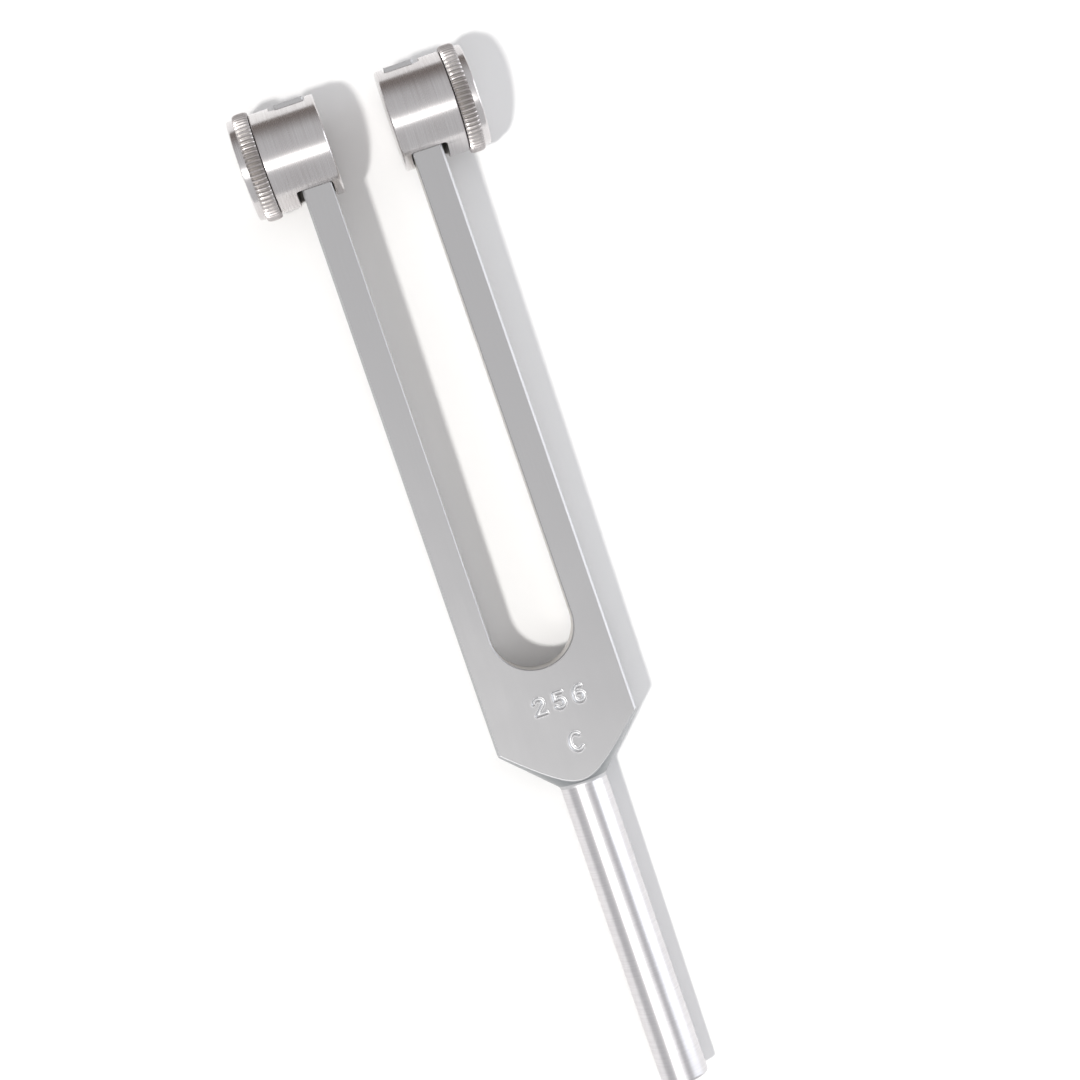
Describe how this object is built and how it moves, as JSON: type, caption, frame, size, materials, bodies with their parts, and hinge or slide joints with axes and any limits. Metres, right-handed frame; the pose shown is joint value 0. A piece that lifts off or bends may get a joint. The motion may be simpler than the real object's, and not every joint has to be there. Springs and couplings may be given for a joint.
{
  "type": "tuning fork",
  "caption": "Aluminium 256 Hz tuning fork with a round stem and sliding cylindrical clamp weights fixed to the tines by knurled thumb screws.",
  "frame": {"origin": "centre of the flat face at the stem's end", "axes": "+Y along the stem towards the tines, +X across the tines, +Z normal to the fork's flat face"},
  "size_m": [0.0404, 0.1745, 0.0182],
  "materials": {
    "fork": "fine brushed flats, polished turned stem",
    "weight": "bright turned",
    "screw": "turned, straight knurl",
    "pad": "turned"
  },
  "bodies": {
    "fork": {"fork_body": "fork"},
    "left_weight": {"left_weight_body": "weight"},
    "left_pad": {"left_pressure_pad": "pad"},
    "left_screw": {"left_clamp_screw": "screw"},
    "right_weight": {"right_weight_body": "weight"},
    "right_pad": {"right_pressure_pad": "pad"},
    "right_screw": {"right_clamp_screw": "screw"}
  },
  "joints": [
    {"name": "left_weight_slide", "type": "slide", "parent": "fork", "child": "left_weight", "axis": [0, 1, 0], "range_m": [-0.076, 0.017]},
    {"name": "left_pad_travel", "type": "slide", "parent": "left_weight", "child": "left_pad", "axis": [-1, 0, 0], "range_m": [0, 0.00201]},
    {"name": "left_screw_turn", "type": "hinge", "parent": "left_pad", "child": "left_screw", "pos_m": [-0.0176, 0.1654, 0], "axis": [-1, 0, 0], "range_deg": [0, 720]},
    {"name": "right_weight_slide", "type": "slide", "parent": "fork", "child": "right_weight", "axis": [0, 1, 0], "range_m": [-0.076, 0.017]},
    {"name": "right_pad_travel", "type": "slide", "parent": "right_weight", "child": "right_pad", "axis": [1, 0, 0], "range_m": [0, 0.00201]},
    {"name": "right_screw_turn", "type": "hinge", "parent": "right_pad", "child": "right_screw", "pos_m": [0.0176, 0.1654, 0], "axis": [1, 0, 0], "range_deg": [0, 720]}
  ],
  "couplings": [
    {"joint": "left_pad_travel", "follows": "left_screw_turn", "m_per_rad": 0.00015915},
    {"joint": "right_pad_travel", "follows": "right_screw_turn", "m_per_rad": 0.00015915}
  ]
}
